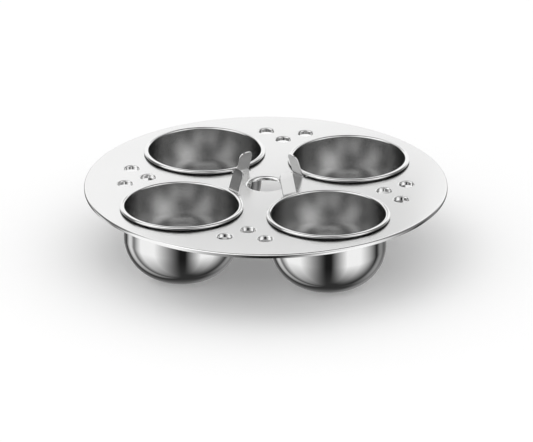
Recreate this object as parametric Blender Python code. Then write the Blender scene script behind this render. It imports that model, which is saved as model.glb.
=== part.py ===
# Egg poacher insert: a round pressed tray that holds four lift-out cups
# Metres, +Z up, front at -Y. The origin is the centre of the plane that the tray's lip rests on.

import math

import bmesh
import bpy

# Driving dimensions

CUP_WALL_RADIUS = 0.0380
CUP_SHEET = 0.0006
CUP_DEPTH = 0.0481
CUP_FOOT_RADIUS = 0.0092
BEAD_OVERHANG = 0.0025
BEAD_HEIGHT = 0.0023
CUP_HOLE_PLAY = 0.0006
REST_GAP = 0.0003

TRAY_SHEET = 0.0008
CUP_GAP = 0.0160
RIM_LAND = 0.0113
LIP_HEIGHT = 0.0024
LIP_BEND = 0.0015

VENT_OPENING_RADIUS = 0.0049
VENT_BEND = 0.0010
VENT_DROP = 0.0027
VENT_EDGE_REACH = 0.0280
VENT_ROW_STEP = 0.0132
VENT_SIDE_STEP = 0.01325

HUB_OPENING_RADIUS = 0.0119
HUB_BEND = 0.0019
HUB_DROP = 0.0024

TAB_HALF_WIDTH = 0.0052
TAB_SETBACK = 0.0029
TAB_TOP_HEIGHT = 0.0155
TAB_LEAN_DEG = 19.0
TAB_BEND = 0.0008
TAB_CORNER = 0.0040
TAB_SIDE_RELIEF = 0.0008
TAB_BACK_RELIEF = 0.0006

# Sizes that follow from them

CUP_BOWL_RADIUS = CUP_WALL_RADIUS - CUP_FOOT_RADIUS
CUP_STRAIGHT = CUP_DEPTH - CUP_BOWL_RADIUS
BEAD_RADIUS = CUP_WALL_RADIUS + BEAD_OVERHANG
CUP_HOLE_RADIUS = CUP_WALL_RADIUS + CUP_HOLE_PLAY
CUP_CENTRE_RADIUS = (BEAD_RADIUS + CUP_GAP / 2) * math.sqrt(2)
TRAY_RADIUS = CUP_CENTRE_RADIUS + CUP_HOLE_RADIUS + RIM_LAND + LIP_BEND
TRAY_TOP = LIP_HEIGHT
TRAY_UNDER = TRAY_TOP - TRAY_SHEET
VENT_ROUNDING_RADIUS = VENT_OPENING_RADIUS + VENT_BEND
VENT_OUTER_REACH = TRAY_RADIUS - VENT_EDGE_REACH
VENT_INNER_REACH = VENT_OUTER_REACH - VENT_ROW_STEP
HUB_ROUNDING_RADIUS = HUB_OPENING_RADIUS + HUB_BEND
TAB_ROOT_REACH = CUP_CENTRE_RADIUS - BEAD_RADIUS - TAB_SETBACK

# How finely the round shapes are cut

RIM_SIDES = 96
CUP_SIDES = 48
HOLE_SIDES = 56
VENT_SIDES = 16
HUB_SIDES = 32
EDGE_STEPS = 3
TAB_BEND_STEPS = 4
TAB_CORNER_STEPS = 4
BOWL_STEPS = 9
BEAD_TOP_STEPS = 5
BEAD_FOOT_STEPS = 2
SMOOTH_ANGLE_DEG = 35.0

QUARTERS = 4
QUARTER_TURN = math.tau / QUARTERS
EIGHTH_TURN = QUARTER_TURN / 2


# Start from an empty file

for old_object in list(bpy.data.objects):
    bpy.data.objects.remove(old_object, do_unlink=True)


# Helpers for loops of points and the bands between them

def turned(x, y, angle):
    """A plan point turned about the tray's centre."""
    cosine = math.cos(angle)
    sine = math.sin(angle)
    return x * cosine - y * sine, x * sine + y * cosine


def ring(mesh, centre, radius, height, sides):
    """A circle of new vertices."""
    points = []
    for number in range(sides):
        angle = math.tau * number / sides
        x = centre[0] + radius * math.cos(angle)
        y = centre[1] + radius * math.sin(angle)
        points.append(mesh.verts.new((x, y, height)))
    return points


def band(mesh, first, second):
    """Quads between two closed loops of the same length."""
    count = len(first)
    for number in range(count):
        after = (number + 1) % count
        mesh.faces.new((first[number], first[after], second[after], second[number]))


def bands(mesh, loops):
    """Quads between each loop and the next."""
    for first, second in zip(loops, loops[1:]):
        band(mesh, first, second)


def loop_edges(loop):
    """The edges that join a loop's vertices in turn."""
    edges = []
    for number, vertex in enumerate(loop):
        after = loop[(number + 1) % len(loop)]
        edges.append(vertex_edge(vertex, after))
    return edges


def vertex_edge(first, second):
    """The edge between two vertices that a face already joins."""
    for edge in first.link_edges:
        if edge.other_vert(first) is second:
            return edge
    raise ValueError("the two vertices share no edge")


def steel(name, grey, roughness):
    """A plain stainless steel material."""
    material = bpy.data.materials.new(name)
    material.use_nodes = True
    shader = material.node_tree.nodes["Principled BSDF"]
    shader.inputs["Base Color"].default_value = (grey, grey, grey, 1)
    shader.inputs["Roughness"].default_value = roughness
    shader.inputs["Metallic"].default_value = 1
    return material


def finished(mesh, name):
    """Turn a closed body's faces outwards and keep it as mesh data."""
    bmesh.ops.recalc_face_normals(mesh, faces=mesh.faces)
    data = bpy.data.meshes.new(name)
    mesh.to_mesh(data)
    mesh.free()
    data.shade_smooth()
    data.set_sharp_from_angle(angle=math.radians(SMOOTH_ANGLE_DEG))
    return data


def placed(name, data, position):
    """A named object that shows the mesh data."""
    item = bpy.data.objects.new(name, data)
    item.location = position
    bpy.context.scene.collection.objects.link(item)
    return item


# Tray: one sheet with a turned-down lip, drawn-down vents and hub, cup holes and four bent-up tabs

def drawn_edge(mesh, centre, start_radius, side, bend, drop, sides):
    """Loops of a bent edge, from the sheet's top face round its end to the under face.

    side is 1 where the sheet turns down outwards and -1 where it turns down into a hole.
    """
    under_bend = bend - TRAY_SHEET
    bend_height = TRAY_TOP - bend
    loops = []
    for step in range(EDGE_STEPS + 1):
        angle = QUARTER_TURN * step / EDGE_STEPS
        radius = start_radius + side * bend * math.sin(angle)
        height = bend_height + bend * math.cos(angle)
        loops.append(ring(mesh, centre, radius, height, sides))
    foot = TRAY_TOP - drop
    loops.append(ring(mesh, centre, start_radius + side * bend, foot, sides))
    loops.append(ring(mesh, centre, start_radius + side * under_bend, foot, sides))
    for step in range(EDGE_STEPS, -1, -1):
        angle = QUARTER_TURN * step / EDGE_STEPS
        radius = start_radius + side * under_bend * math.sin(angle)
        height = bend_height + under_bend * math.cos(angle)
        loops.append(ring(mesh, centre, radius, height, sides))
    bands(mesh, loops)
    return loops[0], loops[-1]


def cup_hole_outline():
    """Plan points of a cup hole with its tab notch, in a frame whose X axis runs out from the tray's centre.

    The last two points are the ends of the tab's root.
    """
    notch_reach = TAB_ROOT_REACH - TAB_BACK_RELIEF
    notch_half_width = TAB_HALF_WIDTH + TAB_SIDE_RELIEF
    half_notch_angle = math.asin(notch_half_width / CUP_HOLE_RADIUS)
    start = half_notch_angle - math.pi
    sweep = math.tau - 2 * half_notch_angle
    outline = [(notch_reach, -notch_half_width)]
    for number in range(HOLE_SIDES + 1):
        angle = start + sweep * number / HOLE_SIDES
        x = CUP_CENTRE_RADIUS + CUP_HOLE_RADIUS * math.cos(angle)
        outline.append((x, CUP_HOLE_RADIUS * math.sin(angle)))
    outline.append((notch_reach, notch_half_width))
    outline.append((notch_reach, TAB_HALF_WIDTH))
    outline.append((notch_reach, -TAB_HALF_WIDTH))
    return outline


def tab_rows():
    """Rows of the bent-up tab, from the start of its bend to its rounded end.

    Each holds the reach and height of the inner face, the same of the outer face, and the half width.
    """
    lean = math.radians(TAB_LEAN_DEG)
    full_bend = QUARTER_TURN + lean
    outer_bend = TAB_BEND + TRAY_SHEET
    bend_height = TRAY_TOP + TAB_BEND
    rows = []
    for step in range(TAB_BEND_STEPS + 1):
        angle = full_bend * step / TAB_BEND_STEPS
        sine = math.sin(angle)
        cosine = math.cos(angle)
        inner = (TAB_ROOT_REACH + TAB_BEND * sine, bend_height - TAB_BEND * cosine)
        outer = (TAB_ROOT_REACH + outer_bend * sine, bend_height - outer_bend * cosine)
        rows.append((inner, outer, TAB_HALF_WIDTH))
    length = (TRAY_TOP + TAB_TOP_HEIGHT - outer[1]) / math.cos(lean)
    corner_start = length - TAB_CORNER
    for step in range(TAB_CORNER_STEPS + 1):
        angle = QUARTER_TURN * step / TAB_CORNER_STEPS
        along = corner_start + TAB_CORNER * math.sin(angle)
        half_width = TAB_HALF_WIDTH - TAB_CORNER * (1 - math.cos(angle))
        back = -along * math.sin(lean)
        rise = along * math.cos(lean)
        inner_end = (inner[0] + back, inner[1] + rise)
        outer_end = (outer[0] + back, outer[1] + rise)
        rows.append((inner_end, outer_end, half_width))
    return rows


def raise_tab(mesh, turn, top_root, under_root):
    """Faces of one tab, from the root's vertices on the sheet's two faces to the rounded end.

    Each row runs left and right on the inner face, then right and left on the outer face.
    """
    row = (top_root[0], top_root[1], under_root[1], under_root[0])
    for inner, outer, half_width in tab_rows():
        corners = (
            (inner[0], half_width, inner[1]),
            (inner[0], -half_width, inner[1]),
            (outer[0], -half_width, outer[1]),
            (outer[0], half_width, outer[1]),
        )
        next_row = []
        for reach, across, height in corners:
            x, y = turned(reach, across, turn)
            next_row.append(mesh.verts.new((x, y, height)))
        band(mesh, row, next_row)
        row = next_row
    mesh.faces.new(row)


def cut_cup_hole(mesh, turn):
    """The walls of one cup hole and its tab; returns the loops on the sheet's top and under faces."""
    top = []
    under = []
    for x, y in cup_hole_outline():
        plan = turned(x, y, turn)
        top.append(mesh.verts.new((*plan, TRAY_TOP)))
        under.append(mesh.verts.new((*plan, TRAY_UNDER)))
    count = len(top)
    root_start = count - 2
    for number in range(count):
        if number != root_start:
            after = (number + 1) % count
            mesh.faces.new((top[number], top[after], under[after], under[number]))
    raise_tab(mesh, turn, top[root_start:], under[root_start:])
    return top, under


def tray_mesh():
    """The whole tray as one closed sheet."""
    mesh = bmesh.new()
    middle = (0, 0)
    lip_start = TRAY_RADIUS - LIP_BEND
    edges = [drawn_edge(mesh, middle, lip_start, 1, LIP_BEND, LIP_HEIGHT, RIM_SIDES)]
    edges.append(drawn_edge(mesh, middle, HUB_ROUNDING_RADIUS, -1, HUB_BEND, HUB_DROP, HUB_SIDES))
    vent_places = (
        (VENT_INNER_REACH, 0),
        (VENT_OUTER_REACH, VENT_SIDE_STEP),
        (VENT_OUTER_REACH, -VENT_SIDE_STEP),
    )
    for quarter in range(QUARTERS):
        for x, y in vent_places:
            centre = turned(x, y, QUARTER_TURN * quarter)
            edges.append(
                drawn_edge(mesh, centre, VENT_ROUNDING_RADIUS, -1, VENT_BEND, VENT_DROP, VENT_SIDES)
            )
        edges.append(cut_cup_hole(mesh, QUARTER_TURN * quarter + EIGHTH_TURN))
    for side in zip(*edges):
        outline = []
        for loop in side:
            outline.extend(loop_edges(loop))
        bmesh.ops.triangle_fill(mesh, edges=outline, use_beauty=True, use_dissolve=False, normal=(0, 0, 1))
    return finished(mesh, "tray")


# Cups: a straight neck, a bowl rounded down to a small flat foot, and a rolled rim bead

def cup_profile():
    """Radius and height of the cup's section above the tray's top face.

    It runs from the outer foot up the outside, over the bead and down the inside.
    """
    inner_radius = CUP_WALL_RADIUS - CUP_SHEET
    inner_bowl_radius = CUP_BOWL_RADIUS - CUP_SHEET
    bead_half_width = (BEAD_RADIUS - inner_radius) / 2
    bead_half_height = BEAD_HEIGHT / 2
    bead_centre = (inner_radius + bead_half_width, REST_GAP + bead_half_height)
    profile = []
    for step in range(BOWL_STEPS, -1, -1):
        angle = QUARTER_TURN * step / BOWL_STEPS
        radius = CUP_FOOT_RADIUS + CUP_BOWL_RADIUS * math.cos(angle)
        profile.append((radius, -CUP_STRAIGHT - CUP_BOWL_RADIUS * math.sin(angle)))
    profile.append((CUP_WALL_RADIUS, REST_GAP))
    for step in range(BEAD_FOOT_STEPS + BEAD_TOP_STEPS + 1):
        if step <= BEAD_FOOT_STEPS:
            angle = QUARTER_TURN * (step / BEAD_FOOT_STEPS - 1)
        else:
            angle = math.pi * (step - BEAD_FOOT_STEPS) / BEAD_TOP_STEPS
        radius = bead_centre[0] + bead_half_width * math.cos(angle)
        profile.append((radius, bead_centre[1] + bead_half_height * math.sin(angle)))
    for step in range(BOWL_STEPS + 1):
        angle = QUARTER_TURN * step / BOWL_STEPS
        radius = CUP_FOOT_RADIUS + inner_bowl_radius * math.cos(angle)
        profile.append((radius, -CUP_STRAIGHT - inner_bowl_radius * math.sin(angle)))
    return profile


def cup_mesh():
    """One cup as a closed turned shell."""
    mesh = bmesh.new()
    loops = [ring(mesh, (0, 0), radius, height, CUP_SIDES) for radius, height in cup_profile()]
    bands(mesh, loops)
    mesh.faces.new(loops[0])
    mesh.faces.new(loops[-1])
    return finished(mesh, "cup")


# The pieces, each with its own material

tray = placed("tray", tray_mesh(), (0, 0, 0))
tray.data.materials.append(steel("tray_steel", 0.80, 0.30))

cup_data = cup_mesh()
cup_data.materials.append(steel("cup_steel", 0.72, 0.26))
cup_names = ("cup_rear_right", "cup_rear_left", "cup_front_left", "cup_front_right")
for quarter, cup_name in enumerate(cup_names):
    cup_x, cup_y = turned(CUP_CENTRE_RADIUS, 0, QUARTER_TURN * quarter + EIGHTH_TURN)
    placed(cup_name, cup_data, (cup_x, cup_y, TRAY_TOP))
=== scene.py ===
# Egg poacher insert: a pressed tray with four lift-out cups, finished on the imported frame
# Metres, +Z up, front at -Y. The tray's lip rests on the plane z = 0.

import math

import bpy
from mathutils import Euler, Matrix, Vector


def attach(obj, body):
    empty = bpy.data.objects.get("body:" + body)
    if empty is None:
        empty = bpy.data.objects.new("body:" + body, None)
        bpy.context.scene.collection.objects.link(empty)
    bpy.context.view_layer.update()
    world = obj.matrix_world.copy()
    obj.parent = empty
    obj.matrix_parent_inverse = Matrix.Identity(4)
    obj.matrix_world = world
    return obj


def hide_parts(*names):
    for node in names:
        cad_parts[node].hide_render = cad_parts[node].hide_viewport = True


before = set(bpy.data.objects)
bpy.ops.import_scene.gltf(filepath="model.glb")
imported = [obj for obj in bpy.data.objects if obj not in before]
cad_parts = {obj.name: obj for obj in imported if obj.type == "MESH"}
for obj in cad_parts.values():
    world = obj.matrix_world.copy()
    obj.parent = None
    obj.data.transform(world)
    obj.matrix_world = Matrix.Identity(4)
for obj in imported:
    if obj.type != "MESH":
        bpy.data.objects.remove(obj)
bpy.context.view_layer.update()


# Tray: one round of stainless sheet, blanked, its lip, vents and centre collar drawn down in the press.
# The four grips are tongues of the same sheet, cut free on three sides at the cup holes and bent up.

SHEET = 0.0008
TOP = 0.0024
TRAY_EASE = 0.00012
TRAY_SIZES = {
    "Radius": 0.119989,
    "Lip bend": 0.0015,
    "Lip drop": TOP,
    "Hub radius": 0.0138,
    "Hub bend": 0.0019,
    "Hub drop": 0.0024,
    "Vent radius": 0.0059,
    "Vent bend": 0.0010,
    "Vent drop": 0.0027,
    "Inner vent reach": 0.078789,
    "Outer vent reach": 0.091989,
    "Vent side step": 0.01325,
    "Cup reach": 0.068589,
    "Cup hole radius": 0.0386,
    "Notch reach": 0.024589,
    "Notch half width": 0.0060,
    "Grip reach": 0.025189,
    "Grip half width": 0.0052,
    "Grip bend": 0.0008,
    "Grip lean": math.radians(19.0),
    "Grip length": 0.0150,
    "Grip corner": 0.0040,
    "Flat margin": 0.0005,
    "Top": TOP,
}
QUARTERS = 4
VENTS_IN_GROUP = 3
FIRST_CUP_TURN = math.pi / QUARTERS
OUTWARD = 1.0
INWARD = -1.0
SEAM_REACH = 0.00001

LIP_SIDES = 256.0
LIP_STEPS = 6.0
HUB_SIDES = 96.0
HUB_STEPS = 7.0
VENT_SIDES = 48.0
VENT_STEPS = 6.0
CUP_HOLE_SIDES = 160.0
GRIP_BEND_STEPS = 8.0
GRIP_CORNER_STEPS = 10.0


class Number:
    """A value inside a node tree, so that the rule of a shape or a finish reads as a sum."""

    def __init__(self, tree, socket):
        self.tree = tree
        self.socket = socket

    def maths(self, operation, *others):
        made = self.tree.nodes.new("ShaderNodeMath")
        made.operation = operation
        for place, value in enumerate((self, *others)):
            feed(self.tree, made.inputs[place], value)
        return Number(self.tree, made.outputs[0])

    def __add__(self, other):
        return self.maths("ADD", other)

    def __sub__(self, other):
        return self.maths("SUBTRACT", other)

    def __rsub__(self, other):
        return self * -1.0 + other

    def __mul__(self, other):
        return self.maths("MULTIPLY", other)

    def __truediv__(self, other):
        return self.maths("DIVIDE", other)

    def above(self, other):
        return self.maths("GREATER_THAN", other)

    def share(self, low, high):
        """0 up to low, 1 from high, and a straight slope between them."""
        return ((self - low) / (high - low)).maths("MINIMUM", 1.0).maths("MAXIMUM", 0.0)

    __radd__ = __add__


def feed(tree, socket, value):
    """Give a socket its value: a plain one, a Number or another socket."""
    if isinstance(value, Number):
        value = value.socket
    if isinstance(value, bpy.types.NodeSocket):
        tree.links.new(value, socket)
    elif socket.type == "INT":
        socket.default_value = int(value)
    else:
        socket.default_value = value


def step(tree, kind, inputs, **settings):
    """One node of a tree, with its settings and its inputs by name or number."""
    made = tree.nodes.new(kind)
    for name, value in settings.items():
        setattr(made, name, value)
    for name, value in inputs.items():
        feed(tree, made.inputs[name], value)
    return made


def split(tree, vector):
    """The three parts of a vector, as Numbers."""
    parts = step(tree, "ShaderNodeSeparateXYZ", {0: vector})
    return [Number(tree, socket) for socket in parts.outputs[:3]]


def start_tree(kind, name, inputs, outputs):
    """A new node group with named sockets, its inputs as Numbers and its end node."""
    tree = bpy.data.node_groups.new(name, kind)
    for way, sockets in (("INPUT", inputs), ("OUTPUT", outputs)):
        for socket_name, socket_kind in sockets.items():
            tree.interface.new_socket(
                name=socket_name, in_out=way, socket_type="NodeSocket" + socket_kind
            )
    source = tree.nodes.new("NodeGroupInput")
    given = {socket_name: Number(tree, source.outputs[socket_name]) for socket_name in inputs}
    return tree, given, tree.nodes.new("NodeGroupOutput")


def use_group(tree, group, inputs):
    """A node group placed in another tree, with its values by name."""
    kind = "GeometryNodeGroup" if group.bl_idname == "GeometryNodeTree" else "ShaderNodeGroup"
    made = tree.nodes.new(kind)
    made.node_tree = group
    for name, value in inputs.items():
        feed(tree, made.inputs[name], value)
    return made


def ruled_skin(tree, columns, rows):
    """A grid of one sheet, its share across and its row number, for a rule to place."""
    points = {"Vertices X": columns + 1.0, "Vertices Y": rows + 1.0}
    grid = step(tree, "GeometryNodeMeshGrid", {"Size X": 1.0, "Size Y": 1.0, **points})
    x, y, _ = split(tree, tree.nodes.new("GeometryNodeInputPosition").outputs[0])
    row = ((y + 0.5) * rows).maths("ROUND")
    return grid.outputs["Mesh"], x + 0.5, row


def put(tree, geometry, x, y, z):
    """The geometry with each point put where the three rules say."""
    place = step(tree, "ShaderNodeCombineXYZ", {0: x, 1: y, 2: z})
    placed = step(tree, "GeometryNodeSetPosition", {"Geometry": geometry, "Position": place.outputs[0]})
    return placed.outputs[0]


def joined(tree, *geometries):
    """Several geometries as one."""
    made = tree.nodes.new("GeometryNodeJoinGeometry")
    for geometry in geometries:
        tree.links.new(geometry, made.inputs[0])
    return made.outputs[0]


def turned_copies(tree, geometry, count, first_turn):
    """Copies of a geometry turned evenly about the tray's centre."""
    index = Number(tree, tree.nodes.new("GeometryNodeInputIndex").outputs[0])
    turn = step(tree, "ShaderNodeCombineXYZ", {2: index * (math.tau / count) + first_turn})
    points = step(tree, "GeometryNodePoints", {"Count": count, "Position": (0.0, 0.0, 0.0)})
    copies = step(
        tree,
        "GeometryNodeInstanceOnPoints",
        {"Points": points.outputs[0], "Instance": geometry, "Rotation": turn.outputs[0]},
    )
    return step(tree, "GeometryNodeRealizeInstances", {"Geometry": copies.outputs[0]}).outputs[0]


def drawn_edge_tree():
    """The sheet's edge bent down round a circle, and the outline where the flat face ends.

    Row 0 of the edge lies on the flat face, the bend takes the next rows, and the last is its foot.
    """
    names = ("Radius", "Way", "Bend", "Drop", "Margin", "Sides", "Steps")
    tree, given, end = start_tree(
        "GeometryNodeTree", "Drawn edge", dict.fromkeys(names, "Float"), {"Edge": "Geometry"}
    )
    skin, across, row = ruled_skin(tree, given["Sides"], given["Steps"] + 2.0)
    bend_turn = row.share(1.0, given["Steps"] + 1.0) * (math.pi / 2)
    on_margin = 1.0 - row.above(0.5)
    at_foot = row.above(given["Steps"] + 1.5)
    outward = bend_turn.maths("SINE") * given["Bend"] - given["Margin"] * on_margin
    radius = given["Radius"] + given["Way"] * outward
    turn = across * given["Way"] * -math.tau
    height = (bend_turn.maths("COSINE") - 1.0) * given["Bend"] - (given["Drop"] - given["Bend"]) * at_foot
    edge = put(tree, skin, radius * turn.maths("COSINE"), radius * turn.maths("SINE"), height)
    outline = step(
        tree,
        "GeometryNodeCurvePrimitiveCircle",
        {"Resolution": given["Sides"], "Radius": given["Radius"] - given["Way"] * given["Margin"]},
    )
    tree.links.new(joined(tree, edge, outline.outputs[0]), end.inputs[0])
    return tree


def cup_hole_tree():
    """The outline of a cup hole with the notch that its grip was cut from, on the X axis.

    Its last four points lie along the notch's back: its corners, and the grip's root between them.
    """
    names = ("Reach", "Radius", "Notch reach", "Notch half width", "Grip half width", "Sides")
    tree, given, end = start_tree(
        "GeometryNodeTree", "Cup hole", dict.fromkeys(names, "Float"), {"Outline": "Geometry"}
    )
    half_notch = (given["Notch half width"] / given["Radius"]).maths("ARCSINE")
    index = Number(tree, tree.nodes.new("GeometryNodeInputIndex").outputs[0])
    turn = half_notch - math.pi + index / given["Sides"] * (math.tau - half_notch * 2.0)
    corner = index - given["Sides"] - 1.0
    in_notch = corner.above(-0.5)
    outer_corner = (corner - 1.5).maths("ABSOLUTE").above(1.0)
    past_grip = (given["Notch half width"] - given["Grip half width"]) * outer_corner
    half_width = given["Grip half width"] + past_grip
    notch_y = (1.5 - corner).maths("SIGN") * half_width
    round_x = given["Reach"] + given["Radius"] * turn.maths("COSINE")
    round_y = given["Radius"] * turn.maths("SINE")
    x = round_x + (given["Notch reach"] - round_x) * in_notch
    y = round_y + (notch_y - round_y) * in_notch
    ring = step(tree, "GeometryNodeMeshCircle", {"Vertices": given["Sides"] + 5.0})
    placed = put(tree, ring.outputs[0], x, y, 0.0)
    outline = step(tree, "GeometryNodeMeshToCurve", {0: placed})
    tree.links.new(outline.outputs[0], end.inputs[0])
    return tree


def grip_tree():
    """One bent-up grip, from its root on the sheet to its rounded end, on the X axis."""
    sizes = ("Root reach", "Reach", "Half width", "Bend", "Lean", "Length", "Corner")
    names = (*sizes, "Bend steps", "Corner steps")
    tree, given, end = start_tree(
        "GeometryNodeTree", "Bent-up grip", dict.fromkeys(names, "Float"), {"Grip": "Geometry"}
    )
    rows = given["Bend steps"] + given["Corner steps"] + 2.0
    skin, across, row = ruled_skin(tree, 1.0, rows)
    turn = row.share(1.0, given["Bend steps"] + 1.0) * (given["Lean"] + math.pi / 2)
    past_bend = row.share(given["Bend steps"] + 1.0, given["Bend steps"] + 2.0)
    round_turn = row.share(given["Bend steps"] + 2.0, rows) * (math.pi / 2)
    along = past_bend * (given["Length"] - given["Corner"]) + given["Corner"] * round_turn.maths("SINE")
    half_width = given["Half width"] - given["Corner"] * (1.0 - round_turn.maths("COSINE"))
    root = given["Reach"] + (given["Root reach"] - given["Reach"]) * (1.0 - row.above(0.5))
    x = root + given["Bend"] * turn.maths("SINE") - along * given["Lean"].maths("SINE")
    z = given["Bend"] * (1.0 - turn.maths("COSINE")) + along * given["Lean"].maths("COSINE")
    y = half_width * (1.0 - across * 2.0)
    tree.links.new(put(tree, skin, x, y, z), end.inputs[0])
    return tree


def tray_tree():
    """The tray's upper skin: flat sheet filled between its outlines, with every drawn edge and grip."""
    inputs = dict.fromkeys(TRAY_SIZES, "Float")
    tree, given, end = start_tree(
        "GeometryNodeTree", "Pressed tray", {**inputs, "Steel": "Material"}, {"Tray": "Geometry"}
    )
    drawn_edge = drawn_edge_tree()
    margin = given["Flat margin"]

    def edge(radius, way, bend, drop, sides, steps):
        values = {"Radius": radius, "Way": way, "Bend": bend, "Drop": drop, "Margin": margin}
        return use_group(tree, drawn_edge, {**values, "Sides": sides, "Steps": steps}).outputs[0]

    flat_radius = given["Radius"] - given["Lip bend"]
    lip = edge(flat_radius, OUTWARD, given["Lip bend"], given["Lip drop"], LIP_SIDES, LIP_STEPS)
    hub = edge(given["Hub radius"], INWARD, given["Hub bend"], given["Hub drop"], HUB_SIDES, HUB_STEPS)
    vent = edge(
        given["Vent radius"], INWARD, given["Vent bend"], given["Vent drop"], VENT_SIDES, VENT_STEPS
    )

    # The first vent of a group is nearer the centre, and the other two are further out on either side
    index = Number(tree, tree.nodes.new("GeometryNodeInputIndex").outputs[0])
    first = 1.0 - index.above(0.5)
    reach = given["Outer vent reach"] - (given["Outer vent reach"] - given["Inner vent reach"]) * first
    side = given["Vent side step"] * (3.0 - index * 2.0) * (1.0 - first)
    place = step(tree, "ShaderNodeCombineXYZ", {0: reach, 1: side})
    group = step(tree, "GeometryNodePoints", {"Count": VENTS_IN_GROUP, "Position": place.outputs[0]})
    vents = step(tree, "GeometryNodeInstanceOnPoints", {"Points": group.outputs[0], "Instance": vent})
    vents = turned_copies(tree, vents.outputs[0], QUARTERS, 0.0)

    hole = use_group(
        tree,
        cup_hole_tree(),
        {
            "Reach": given["Cup reach"],
            "Radius": given["Cup hole radius"],
            "Notch reach": given["Notch reach"],
            "Notch half width": given["Notch half width"],
            "Grip half width": given["Grip half width"],
            "Sides": CUP_HOLE_SIDES,
        },
    )
    grip = use_group(
        tree,
        grip_tree(),
        {
            "Root reach": given["Notch reach"],
            "Reach": given["Grip reach"],
            "Half width": given["Grip half width"],
            "Bend": given["Grip bend"],
            "Lean": given["Grip lean"],
            "Length": given["Grip length"],
            "Corner": given["Grip corner"],
            "Bend steps": GRIP_BEND_STEPS,
            "Corner steps": GRIP_CORNER_STEPS,
        },
    )
    corners = turned_copies(tree, joined(tree, hole.outputs[0], grip.outputs[0]), QUARTERS, FIRST_CUP_TURN)

    parts = step(tree, "GeometryNodeSeparateComponents", {0: joined(tree, lip, hub, vents, corners)})
    flat = step(tree, "GeometryNodeFillCurve", {0: parts.outputs["Curve"]})
    skin = joined(tree, parts.outputs["Mesh"], flat.outputs[0])
    skin = step(tree, "GeometryNodeMergeByDistance", {"Geometry": skin, "Distance": SEAM_REACH}).outputs[0]
    lift = step(tree, "ShaderNodeCombineXYZ", {2: given["Top"]})
    skin = step(tree, "GeometryNodeSetPosition", {"Geometry": skin, "Offset": lift.outputs[0]}).outputs[0]
    skin = step(tree, "GeometryNodeSetShadeSmooth", {"Geometry": skin}).outputs[0]
    skin = step(tree, "GeometryNodeRealizeInstances", {"Geometry": skin}).outputs[0]
    skin = step(tree, "GeometryNodeSetMaterial", {"Geometry": skin, "Material": given["Steel"]}).outputs[0]
    tree.links.new(skin, end.inputs[0])
    return tree


EASE_SEGMENTS = 2
EASE_ANGLE = math.radians(60.0)


def of_sheet(name, tree, sizes, thickness, eased):
    """A piece of sheet steel as a plain mesh: the tree's skin with its thickness and eased cut edges.

    The tree's own grids keep an empty first slot for a material, so the object starts with one too.
    """
    item = bpy.data.objects.new(name, bpy.data.meshes.new(name))
    bpy.context.scene.collection.objects.link(item)
    finishes = [value for value in sizes.values() if isinstance(value, bpy.types.Material)]
    for finish in (None, *finishes):
        item.data.materials.append(finish)
    skin = item.modifiers.new("Skin", "NODES")
    skin.node_group = tree
    for socket in tree.interface.items_tree:
        if socket.in_out == "INPUT":
            skin[socket.identifier] = sizes[socket.name]
    wall = item.modifiers.new("Thickness", "SOLIDIFY")
    wall.thickness = thickness
    wall.offset = -1.0
    wall.use_even_offset = True
    wall.use_quality_normals = True
    wall.material_offset = 1
    wall.material_offset_rim = 1
    edges = item.modifiers.new("Eased edges", "BEVEL")
    edges.width = eased
    edges.segments = EASE_SEGMENTS
    edges.limit_method = "ANGLE"
    edges.angle_limit = EASE_ANGLE
    shading = item.modifiers.new("Even shading", "WEIGHTED_NORMAL")
    shading.keep_sharp = True
    depsgraph = bpy.context.evaluated_depsgraph_get()
    plain = bpy.data.meshes.new_from_object(
        item.evaluated_get(depsgraph), preserve_all_data_layers=True, depsgraph=depsgraph
    )
    plain.materials.pop(index=0)
    item.modifiers.clear()
    item.data = plain
    plain.name = name
    return item


CLOUD_NOISE = {"Scale": 26.0, "Detail": 3.0, "Roughness": 0.6}
SPECKLE_NOISE = {"Scale": 2600.0, "Detail": 2.0, "Roughness": 0.6}
GRAIN_NOISE = {"Scale": 1500.0, "Detail": 4.0, "Roughness": 0.6}
HAIRLINE_NOISE = {"Scale": 1.0, "Detail": 1.0}
HAIRLINE_TURNS = (0.5, 1.9, 2.7)
HAIRLINE_STRETCH = (45.0, 3200.0, 45.0)
HAIRLINE_SHARES = (0.70, 0.78)
# The dulling's grey share is painted shade; its roughness share gives a duller finish.
GREY_SHARES = {"grain": 0.25, "hairlines": 0.05, "rubbed": 0.04, "dull_and_painted_shade": 0.94, "blue": 0.997}
ROUGHNESS_SHARES = {"cloud": 3.0, "grain": 0.5, "hairlines": 0.08, "rubbed": 0.12, "dull_and_painted_shade": 0.30}
HEIGHT_SHARES = {"speckle": 0.25, "hairlines": 0.5}
LEAST_ROUGHNESS = 0.04


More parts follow.
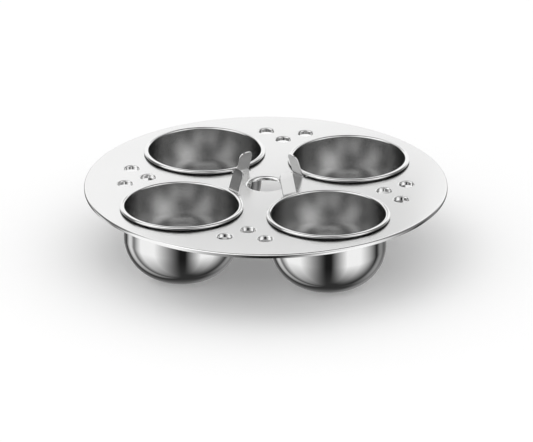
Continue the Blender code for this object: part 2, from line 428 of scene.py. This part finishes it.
def worked_steel_group():
    """Shader group: handled stainless sheet, with mottle, fine grain along a coordinate and hairlines, and
    a dulling that also paints shade.
    """
    inputs = {
        "Place": "Vector",
        "Along": "Float",
        "Grey": "Float",
        "Roughness": "Float",
        "Mottle": "Float",
        "Grain": "Float",
        "Hairlines": "Float",
        "Rubbed": "Float",
        "Dull and painted shade": "Float",
    }
    outputs = {"Colour": "Color", "Roughness": "Float", "Height": "Float"}
    tree, given, end = start_tree("ShaderNodeTree", "Worked steel", inputs, outputs)
    place = given["Place"]

    def noise(values, **settings):
        return Number(tree, step(tree, "ShaderNodeTexNoise", values, **settings).outputs[0])

    cloud = noise({**CLOUD_NOISE, "Vector": place}) - 0.5
    speckle = noise({**SPECKLE_NOISE, "Vector": place}) - 0.5
    line = noise({**GRAIN_NOISE, "W": given["Along"]}, noise_dimensions="1D") - 0.5
    scratches = 0.0
    for angle in HAIRLINE_TURNS:
        turned = step(
            tree,
            "ShaderNodeMapping",
            {"Vector": place, "Rotation": (0.0, 0.0, angle), "Scale": HAIRLINE_STRETCH},
        )
        streak = noise({**HAIRLINE_NOISE, "Vector": turned.outputs[0]})
        scratches = streak.share(*HAIRLINE_SHARES) + scratches
    mottle = cloud * given["Mottle"]
    grain = line * given["Grain"]
    lines = scratches * given["Hairlines"]
    worked = 1.0 + mottle + grain * GREY_SHARES["grain"] - lines * GREY_SHARES["hairlines"]
    clean = given["Grey"] * worked + given["Rubbed"] * GREY_SHARES["rubbed"]
    # Painted shade: the dulling share takes the grey almost to black, standing in for the shade under the
    # rolled bead.
    grey = clean * (1.0 - given["Dull and painted shade"] * GREY_SHARES["dull_and_painted_shade"])
    roughness = (
        given["Roughness"] * (1.0 + mottle * ROUGHNESS_SHARES["cloud"] + grain * ROUGHNESS_SHARES["grain"])
        + lines * ROUGHNESS_SHARES["hairlines"]
        - given["Rubbed"] * ROUGHNESS_SHARES["rubbed"]
        + given["Dull and painted shade"] * ROUGHNESS_SHARES["dull_and_painted_shade"]
    ).maths("MAXIMUM", LEAST_ROUGHNESS)
    height = grain + speckle * HEIGHT_SHARES["speckle"] - lines * HEIGHT_SHARES["hairlines"]
    colour = step(tree, "ShaderNodeCombineColor", {0: grey, 1: grey, 2: grey * GREY_SHARES["blue"]})
    feed(tree, end.inputs["Colour"], colour.outputs[0])
    feed(tree, end.inputs["Roughness"], roughness)
    feed(tree, end.inputs["Height"], height)
    return tree


WORKED_STEEL = worked_steel_group()


def steel(name, grey, roughness, mottle, grain, hairlines, bump, along, rubbed, dull_and_painted_shade=None):
    """A stainless finish; along, rubbed and the dulling are rules that give a Number in its node tree; the
    dulling also paints shade.
    """
    material = bpy.data.materials.new(name)
    material.use_nodes = True
    tree = material.node_tree
    shader = tree.nodes["Principled BSDF"]
    shader.inputs["Metallic"].default_value = 1.0
    place = tree.nodes.new("ShaderNodeTexCoord").outputs["Object"]
    finish = use_group(
        tree,
        WORKED_STEEL,
        {
            "Place": place,
            "Along": along(tree, place),
            "Grey": grey,
            "Roughness": roughness,
            "Mottle": mottle,
            "Grain": grain,
            "Hairlines": hairlines,
            "Rubbed": rubbed(tree, place),
            "Dull and painted shade": dull_and_painted_shade(tree) if dull_and_painted_shade else 0.0,
        },
    )
    feed(tree, shader.inputs["Base Color"], finish.outputs["Colour"])
    feed(tree, shader.inputs["Roughness"], finish.outputs["Roughness"])
    values = {"Height": finish.outputs["Height"], "Distance": bump, "Strength": 1.0}
    relief = step(tree, "ShaderNodeBump", values)
    feed(tree, shader.inputs["Normal"], relief.outputs[0])
    return material


def plan_radius(tree, place):
    """How far a point is from the tray's axis."""
    x, y, _ = split(tree, place)
    return (x * x + y * y).maths("SQRT")


DRAWN_SLOPES = (0.98, 0.80)
DRAWN_HEIGHTS = (TOP + 0.0004, TOP + 0.0002)
GRIP_TIP_HEIGHTS = (0.0135, 0.0178)


def tray_rubbed(tree, place):
    """The drawn edges, burnished in the press, and the grips' tips, which hands keep bright."""
    height = split(tree, place)[2]
    normal = tree.nodes.new("ShaderNodeNewGeometry").outputs["Normal"]
    slope = split(tree, normal)[2].maths("ABSOLUTE")
    drawn = slope.share(*DRAWN_SLOPES) * height.share(*DRAWN_HEIGHTS)
    return drawn + height.share(*GRIP_TIP_HEIGHTS)


tray_steel = steel(
    "tray_satin_steel",
    grey=0.89,
    roughness=0.22,
    mottle=0.05,
    grain=0.10,
    hairlines=0.5,
    bump=0.000003,
    along=plan_radius,
    rubbed=tray_rubbed,
)
tray = of_sheet("pressed_tray", tray_tree(), {**TRAY_SIZES, "Steel": tray_steel}, SHEET, TRAY_EASE)
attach(tray, "tray")
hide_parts("tray")


# Cups: four alike, each drawn from thin stainless disc into a round bowl with a straight neck.
# The rim is rolled outwards into a bead that rests on the tray; the inside is satin, the outside polished.

CUP_SHEET = 0.0006
CUP_EASE = 0.00010
CUP_REACH = TRAY_SIZES["Cup reach"]
CUP_SIZES = {
    "Foot radius": 0.0092,
    "Bowl radius": 0.0282,
    "Straight": 0.0193,
    "Bead reach": 0.03895,
    "Bead half width": 0.00155,
    "Bead height": 0.00145,
    "Bead half height": 0.00115,
    "Curl": math.radians(292.0),
}
CUP_BODIES = ("cup_rear_right", "cup_rear_left", "cup_front_left", "cup_front_right")
CUP_SIDES = 192.0
FOOT_ROWS = 8.0
BOWL_ROWS = 44.0
BEAD_ROWS = 22.0


def cup_tree():
    """The cup's inner skin and the outside of its rolled bead, turned about the cup's axis.

    Rows run from the middle of the foot, up the bowl and the neck, and on round the bead.
    """
    tree, given, end = start_tree(
        "GeometryNodeTree",
        "Turned cup",
        {**dict.fromkeys(CUP_SIZES, "Float"), "Place": "Vector", "Satin": "Material", "Polish": "Material"},
        {"Cup": "Geometry"},
    )
    neck_row = FOOT_ROWS + BOWL_ROWS
    curl_row = neck_row + 1.0
    last_row = curl_row + BEAD_ROWS
    skin, across, row = ruled_skin(tree, CUP_SIDES, last_row)
    bowl_turn = (1.0 - row.share(FOOT_ROWS, neck_row)) * (math.pi / 2)
    rolled = row.share(curl_row, last_row)
    curl_turn = math.pi - rolled * given["Curl"]
    above_neck = row.above(neck_row + 0.5)
    foot = given["Foot radius"] * row.share(0.0, FOOT_ROWS)
    bowl_radius = foot + given["Bowl radius"] * bowl_turn.maths("COSINE")
    bowl_height = (given["Straight"] + given["Bowl radius"] * bowl_turn.maths("SINE")) * -1.0
    curl_radius = given["Bead reach"] + given["Bead half width"] * curl_turn.maths("COSINE")
    curl_height = given["Bead height"] + given["Bead half height"] * curl_turn.maths("SINE")
    radius = bowl_radius + (curl_radius - bowl_radius) * above_neck
    height = bowl_height + (curl_height - bowl_height) * above_neck
    turn = across * -math.tau
    skin = step(
        tree,
        "GeometryNodeStoreNamedAttribute",
        {"Geometry": skin, "Name": "Roll", "Value": rolled},
        data_type="FLOAT",
        domain="POINT",
    ).outputs[0]
    section = step(tree, "ShaderNodeCombineXYZ", {0: across, 1: radius + height})
    skin = step(
        tree,
        "GeometryNodeStoreNamedAttribute",
        {"Geometry": skin, "Name": "UVMap", "Value": section.outputs[0]},
        data_type="FLOAT2",
        domain="CORNER",
    ).outputs[0]
    skin = put(tree, skin, radius * turn.maths("COSINE"), radius * turn.maths("SINE"), height)
    skin = step(tree, "GeometryNodeMergeByDistance", {"Geometry": skin, "Distance": SEAM_REACH}).outputs[0]
    skin = step(tree, "GeometryNodeSetPosition", {"Geometry": skin, "Offset": given["Place"]}).outputs[0]
    skin = step(tree, "GeometryNodeSetShadeSmooth", {"Geometry": skin}).outputs[0]
    skin = step(tree, "GeometryNodeRealizeInstances", {"Geometry": skin}).outputs[0]
    skin = step(tree, "GeometryNodeSetMaterial", {"Geometry": skin, "Material": given["Satin"]}).outputs[0]
    on_bead = split(tree, tree.nodes.new("GeometryNodeInputPosition").outputs[0])[2].above(TOP)
    skin = step(
        tree,
        "GeometryNodeSetMaterial",
        {"Geometry": skin, "Selection": on_bead, "Material": given["Polish"]},
    ).outputs[0]
    tree.links.new(skin, end.inputs[0])
    return tree


def section_length(tree, place):
    """How far along the cup's section a point is, from the cup's own map; its place isn't needed."""
    own_map = tree.nodes.new("ShaderNodeUVMap")
    own_map.uv_map = "UVMap"
    return split(tree, own_map.outputs[0])[1]


BEAD_TOP_HEIGHTS = (TOP + 0.0010, TOP + 0.0024)
ROLLED_UNDER_SHARES = (0.63, 0.70)


def bead_rubbed(tree, place):
    """The top of the bead, which is wiped and stacked."""
    return split(tree, place)[2].share(*BEAD_TOP_HEIGHTS)


def bead_underside_painted_shade(tree):
    """The part of the bead rolled under past its widest point, given a duller finish and painted shade that
    darkens it almost to black.
    """
    roll = step(tree, "ShaderNodeAttribute", {}, attribute_name="Roll")
    return Number(tree, roll.outputs["Fac"]).share(*ROLLED_UNDER_SHARES)


cup_satin = steel(
    "cup_satin_steel",
    grey=0.60,
    roughness=0.21,
    mottle=0.06,
    grain=0.35,
    hairlines=0.3,
    bump=0.000002,
    along=section_length,
    rubbed=bead_rubbed,
)
# The polished bead's rolled underside gets painted shade, nearly black, standing in for the shade beneath
# the bead.
cup_polish = steel(
    "cup_polished_steel",
    grey=0.87,
    roughness=0.06,
    mottle=0.04,
    grain=0.15,
    hairlines=0.3,
    bump=0.000002,
    along=section_length,
    rubbed=bead_rubbed,
    dull_and_painted_shade=bead_underside_painted_shade,
)
turned_cup = cup_tree()
for quarter, body in enumerate(CUP_BODIES):
    turn = math.tau * (quarter + 0.5) / len(CUP_BODIES)
    own = {
        "Place": (CUP_REACH * math.cos(turn), CUP_REACH * math.sin(turn), TOP),
        "Satin": cup_satin,
        "Polish": cup_polish,
    }
    cup = of_sheet("drawn_" + body, turned_cup, {**CUP_SIZES, **own}, CUP_SHEET, CUP_EASE)
    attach(cup, body)
    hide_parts(body)


# Studio: a plain pale floor just under the cups' feet, and a white surround that the camera sees.
# The metal sees a light tent instead: two soft lights at the sides, with dark gaps between them and behind.

FLOOR_HEIGHT = -0.0460
FLOOR_HALF = 3.0
FLOOR_GREY = 0.89
FLOOR_GLOW = 0.10
STAGE_ROUGHNESS = 0.9
BLACK = (0.0, 0.0, 0.0, 1.0)
WHITE = (1.0, 1.0, 1.0, 1.0)


def stage_piece(name, corners, faces):
    """A piece of the studio with a plain material; returns the piece, its node tree and its shader."""
    data = bpy.data.meshes.new(name)
    data.from_pydata(corners, [], faces)
    item = bpy.data.objects.new(name, data)
    bpy.context.scene.collection.objects.link(item)
    material = bpy.data.materials.new(name)
    material.use_nodes = True
    shader = material.node_tree.nodes["Principled BSDF"]
    shader.inputs["Roughness"].default_value = STAGE_ROUGHNESS
    shader.inputs["Specular IOR Level"].default_value = 0.0
    data.materials.append(material)
    return item, material.node_tree, shader


def glow_for_metal_only(item, shader, grey):
    """Make a piece of the studio a plain glow that only reflections see."""
    shader.inputs["Base Color"].default_value = BLACK
    shader.inputs["Emission Color"].default_value = (grey, grey, grey, 1.0)
    shader.inputs["Emission Strength"].default_value = 1.0
    item.visible_camera = False
    item.visible_diffuse = False
    item.visible_transmission = False
    item.visible_shadow = False


floor, floor_tree, floor_shader = stage_piece(
    "floor",
    [
        (-FLOOR_HALF, -FLOOR_HALF, FLOOR_HEIGHT),
        (FLOOR_HALF, -FLOOR_HALF, FLOOR_HEIGHT),
        (FLOOR_HALF, FLOOR_HALF, FLOOR_HEIGHT),
        (-FLOOR_HALF, FLOOR_HALF, FLOOR_HEIGHT),
    ],
    [(0, 1, 2, 3)],
)
floor.visible_glossy = False
floor_shader.inputs["Base Color"].default_value = (FLOOR_GREY, FLOOR_GREY, FLOOR_GREY, 1.0)
floor_shader.inputs["Emission Color"].default_value = WHITE
camera_ray = Number(floor_tree, floor_tree.nodes.new("ShaderNodeLightPath").outputs["Is Camera Ray"])
feed(floor_tree, floor_shader.inputs["Emission Strength"], camera_ray * FLOOR_GLOW)

TENT_RADIUS = 3.0
TENT_COLUMNS = 72
TENT_ROWS = 36


def tent_mesh():
    """Points and faces of the round tent."""
    corners = []
    for row in range(TENT_ROWS + 1):
        rise = math.pi * row / TENT_ROWS
        for column in range(TENT_COLUMNS):
            turn = math.tau * column / TENT_COLUMNS
            ring = TENT_RADIUS * math.sin(rise)
            corners.append((ring * math.cos(turn), ring * math.sin(turn), TENT_RADIUS * math.cos(rise)))
    faces = []
    for row in range(TENT_ROWS):
        for column in range(TENT_COLUMNS):
            after = (column + 1) % TENT_COLUMNS
            first = row * TENT_COLUMNS
            second = first + TENT_COLUMNS
            faces.append((first + column, second + column, second + after, first + after))
    return corners, faces


# The tent's bearings and heights, in degrees. Bearing 0 is the camera's side, and right of it is positive.
# Four numbers say where a light or a gap starts, is full, fades and ends; two say where it is 0 and 1.
# The overhead gap's place and sizes are shares of the tent's radius.

CAMERA_TURN = math.radians(8.47772)
LEFT_LIGHT = (-3.0, -56.0, -88.0, -112.0)
LEFT_LIGHT_CURVE = 1.5
RIGHT_LIGHT = (6.0, 38.0, 66.0, 108.0)
RIGHT_LIGHT_CURVE = 1.3
SIDE_LIGHT = 0.98
LEFT_EDGE = (-108.0, -118.0, -126.0, -140.0)
LEFT_EDGE_LIGHT = 0.72
RIGHT_EDGE = (112.0, 122.0, 130.0, 144.0)
RIGHT_EDGE_LIGHT = 0.20
BEHIND = (138.0, 172.0)
BEHIND_LIGHT = 0.30
LEFT_FADE = (-88.0, -26.0)
LEFT_FADE_CURVE = 1.2
RIGHT_FADE = (-80.0, -26.0)
RIGHT_FADE_CURVE = 1.4
LOW_EDGE = (100.0, 126.0, 158.0, 176.0)
LOW_EDGE_HEIGHTS = (-16.0, -38.0, -46.0, -64.0)
LOW_EDGE_LIGHT = 0.15
BELOW = (-30.0, -75.0)
BELOW_LIGHT = 0.02
DARKEST = 0.012
FRONT_GAP = (58.0, 14.0)
FRONT_GAP_HEIGHTS = (56.0, 40.0)
LEFT_GAP = (-88.0, -95.0, -126.0, -142.0)
LEFT_GAP_HEIGHTS = (80.0, 22.0)
LEFT_GAP_DARKNESS = 0.93
RIGHT_GAP = (66.0, 92.0, 124.0, 142.0)
RIGHT_GAP_HEIGHTS = (78.0, 66.0)
RIGHT_GAP_DARKNESS = 0.85
OVERHEAD_REAR_SHARE = 0.20
OVERHEAD_SIZE_SHARES = (0.52, 0.38)
OVERHEAD_NARROWING = 1.3
OVERHEAD_DARKNESS = 0.95
GAP_DARKNESS = 0.97
HORIZON = (-9.0, 1.0)


def band(value, starts, full, fades, ends, curve=1.0):
    """0 outside starts and ends, 1 between full and fades; curve bends the first slope."""
    return value.share(starts, full).maths("POWER", curve) * value.share(ends, fades)


def tent_light(tree):
    """How bright the tent is: side lights that fade downwards, and a bright sky with four dark gaps."""
    place = tree.nodes.new("ShaderNodeTexCoord").outputs["Object"]
    facing = step(tree, "ShaderNodeMapping", {"Vector": place, "Rotation": (0.0, 0.0, -CAMERA_TURN)})
    facing = step(tree, "ShaderNodeVectorMath", {0: facing.outputs[0]}, operation="NORMALIZE")
    across, away, up = split(tree, facing.outputs[0])
    bearing = across.maths("ARCTAN2", away * -1.0).maths("DEGREES")
    height = up.maths("ARCSINE").maths("DEGREES")
    side = bearing.maths("ABSOLUTE")

    left_light = band(bearing, *LEFT_LIGHT, LEFT_LIGHT_CURVE) * SIDE_LIGHT
    left_edge = band(bearing, *LEFT_EDGE) * LEFT_EDGE_LIGHT
    left_fade = height.share(*LEFT_FADE).maths("POWER", LEFT_FADE_CURVE)
    right_light = band(bearing, *RIGHT_LIGHT, RIGHT_LIGHT_CURVE) * SIDE_LIGHT
    right_edge = band(bearing, *RIGHT_EDGE) * RIGHT_EDGE_LIGHT
    right_fade = height.share(*RIGHT_FADE).maths("POWER", RIGHT_FADE_CURVE)
    behind = side.share(*BEHIND) * BEHIND_LIGHT
    left_side = (left_light + left_edge) * left_fade
    right_side = (right_light + right_edge + behind) * right_fade
    low_edge = band(bearing, *LOW_EDGE) * band(height, *LOW_EDGE_HEIGHTS) * LOW_EDGE_LIGHT
    low = left_side + right_side + low_edge + height.share(*BELOW) * BELOW_LIGHT + DARKEST

    front_gap = side.share(*FRONT_GAP) * height.share(*FRONT_GAP_HEIGHTS)
    left_gap = band(bearing, *LEFT_GAP) * height.share(*LEFT_GAP_HEIGHTS) * LEFT_GAP_DARKNESS
    right_gap = band(bearing, *RIGHT_GAP) * height.share(*RIGHT_GAP_HEIGHTS) * RIGHT_GAP_DARKNESS
    to_rear = away - OVERHEAD_REAR_SHARE
    from_middle = (across * across * OVERHEAD_NARROWING + to_rear * to_rear).maths("SQRT")
    overhead_gap = from_middle.share(*OVERHEAD_SIZE_SHARES) * up.above(0.0) * OVERHEAD_DARKNESS
    dark = front_gap.maths("MAXIMUM", left_gap).maths("MAXIMUM", right_gap).maths("MAXIMUM", overhead_gap)
    high = 1.0 - dark * GAP_DARKNESS
    return low + (high - low) * height.share(*HORIZON)


tent, tent_tree, tent_shader = stage_piece("light_tent", *tent_mesh())
glow_for_metal_only(tent, tent_shader, 1.0)
feed(tent_tree, tent_shader.inputs["Emission Strength"], tent_light(tent_tree))

CARD_HEIGHT = 0.15
CARD_GREY = 0.645
CARD_CORNERS = ((-0.130, 0.190), (0.070, 0.205), (0.065, 0.370), (-0.108, 0.305))
card, _, card_shader = stage_piece(
    "rear_card",
    [(x, y, CARD_HEIGHT) for x, y in CARD_CORNERS],
    [(0, 1, 2, 3)],
)
glow_for_metal_only(card, card_shader, CARD_GREY)

SKY_FOR_FLOOR = 0.98
world = bpy.data.worlds.new("white_surround")
bpy.context.scene.world = world
world.use_nodes = True
sky_tree = world.node_tree
sky = sky_tree.nodes["Background"]
sky.inputs["Color"].default_value = WHITE
path = sky_tree.nodes.new("ShaderNodeLightPath")
seen = Number(sky_tree, path.outputs["Is Camera Ray"]).maths("MAXIMUM", path.outputs["Is Glossy Ray"])
seen = seen.maths("MAXIMUM", path.outputs["Is Transmission Ray"])
feed(sky_tree, sky.inputs["Strength"], seen * (1.0 - SKY_FOR_FLOOR) + SKY_FOR_FLOOR)

LAMP_PLACE = Vector((-0.5, -0.3, 1.5))
LAMP_WIDTH = 1.4
LAMP_DEPTH = 1.0
LAMP_POWER = 2.0
soft_box = bpy.data.lights.new("soft_box", "AREA")
soft_box.shape = "RECTANGLE"
soft_box.size = LAMP_WIDTH
soft_box.size_y = LAMP_DEPTH
soft_box.energy = LAMP_POWER
soft_box_stand = bpy.data.objects.new("soft_box", soft_box)
soft_box_stand.location = LAMP_PLACE
soft_box_stand.rotation_euler = LAMP_PLACE.to_track_quat("Z", "Y").to_euler()
bpy.context.scene.collection.objects.link(soft_box_stand)


# Camera: a long lens about 4.5 m away, a little to the right of the front and 22.5 degrees up.
# Its place, turn and length were fitted to the round outlines of the tray, the vents and the cups.

CAMERA_PLACE = (0.60887, -4.08191, 1.71074)
CAMERA_TILT = math.radians(67.19858)
LENS_LENGTH = 456.93
SENSOR_WIDTH = 36.0
FARTHEST_SEEN = 50.0
lens = bpy.data.cameras.new("camera")
lens.lens = LENS_LENGTH
lens.sensor_width = SENSOR_WIDTH
lens.clip_end = FARTHEST_SEEN
camera = bpy.data.objects.new("camera", lens)
camera.location = CAMERA_PLACE
camera.rotation_euler = Euler((CAMERA_TILT, 0.0, CAMERA_TURN))
bpy.context.scene.collection.objects.link(camera)
bpy.context.scene.camera = camera
bpy.context.scene.view_settings.view_transform = "Standard"
